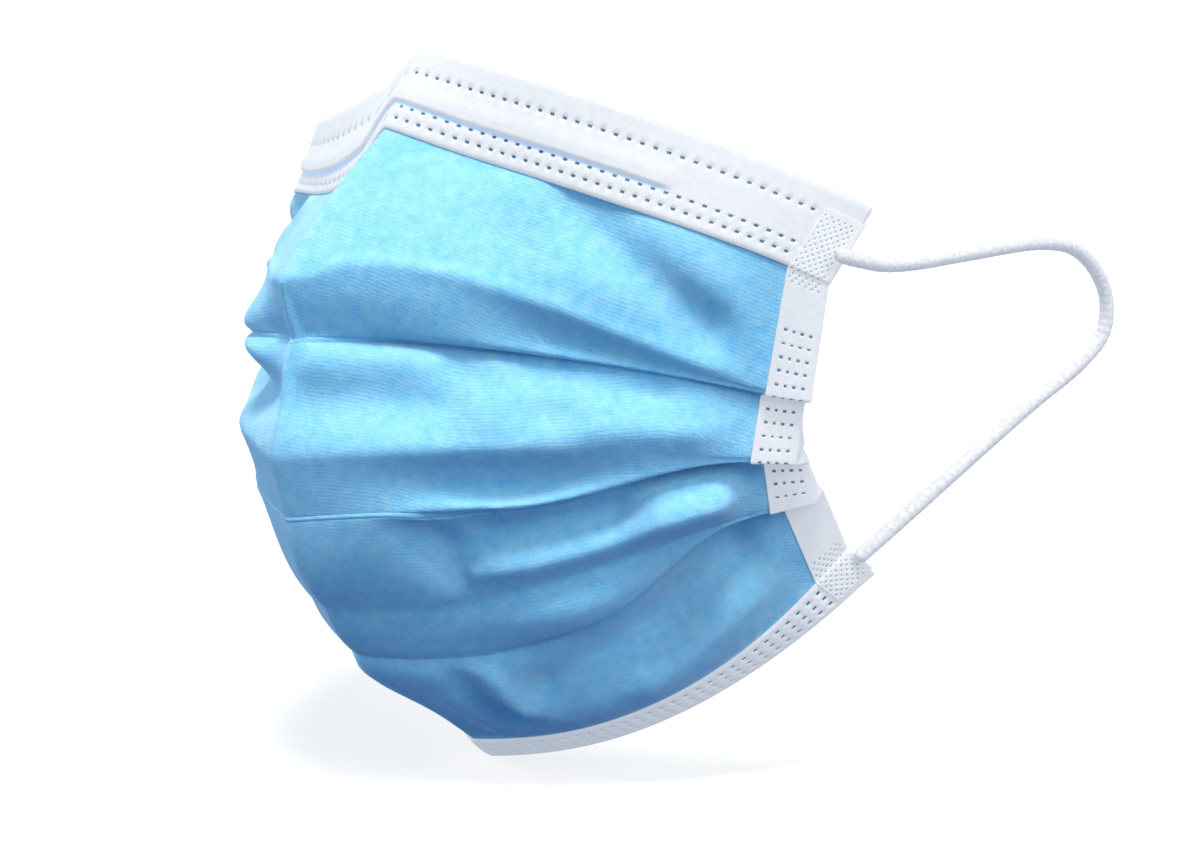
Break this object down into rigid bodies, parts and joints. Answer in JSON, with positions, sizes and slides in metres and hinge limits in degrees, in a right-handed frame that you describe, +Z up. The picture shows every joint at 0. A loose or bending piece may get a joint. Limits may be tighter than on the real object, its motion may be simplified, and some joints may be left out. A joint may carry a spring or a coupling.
{
  "type": "pleated surgical face mask",
  "caption": "Pleated cloth face mask in its worn form, with folded nose and chin bands, a nose wire, bound sides and ear loops.",
  "frame": {"origin": "top of the nose, in the middle of the mask's upper edge, where it sits on the bridge of the nose", "axes": "+Z up, -Y out of the front of the mask, +X towards the side edge that the picture shows"},
  "size_m": [0.1462, 0.1308, 0.1284],
  "materials": {
    "blue_nonwoven": "light blue spun nonwoven cloth, fibrous and matt, with a fine dashed embossing",
    "white_nonwoven": "white spun nonwoven cloth, fibrous and matt, with rows of small weld dots",
    "nose_wire": "white plastic-coated flat wire",
    "elastic_cord": "white knitted round elastic, soft and matt"
  },
  "bodies": {
    "root": {"pleated_body": "blue_nonwoven", "nose_band": "white_nonwoven", "nose_wire": "nose_wire", "chin_band": "white_nonwoven", "side_binding_right": "white_nonwoven", "side_binding_left": "white_nonwoven", "ear_loop_right": "elastic_cord", "ear_loop_left": "elastic_cord"}
  },
  "joints": []
}
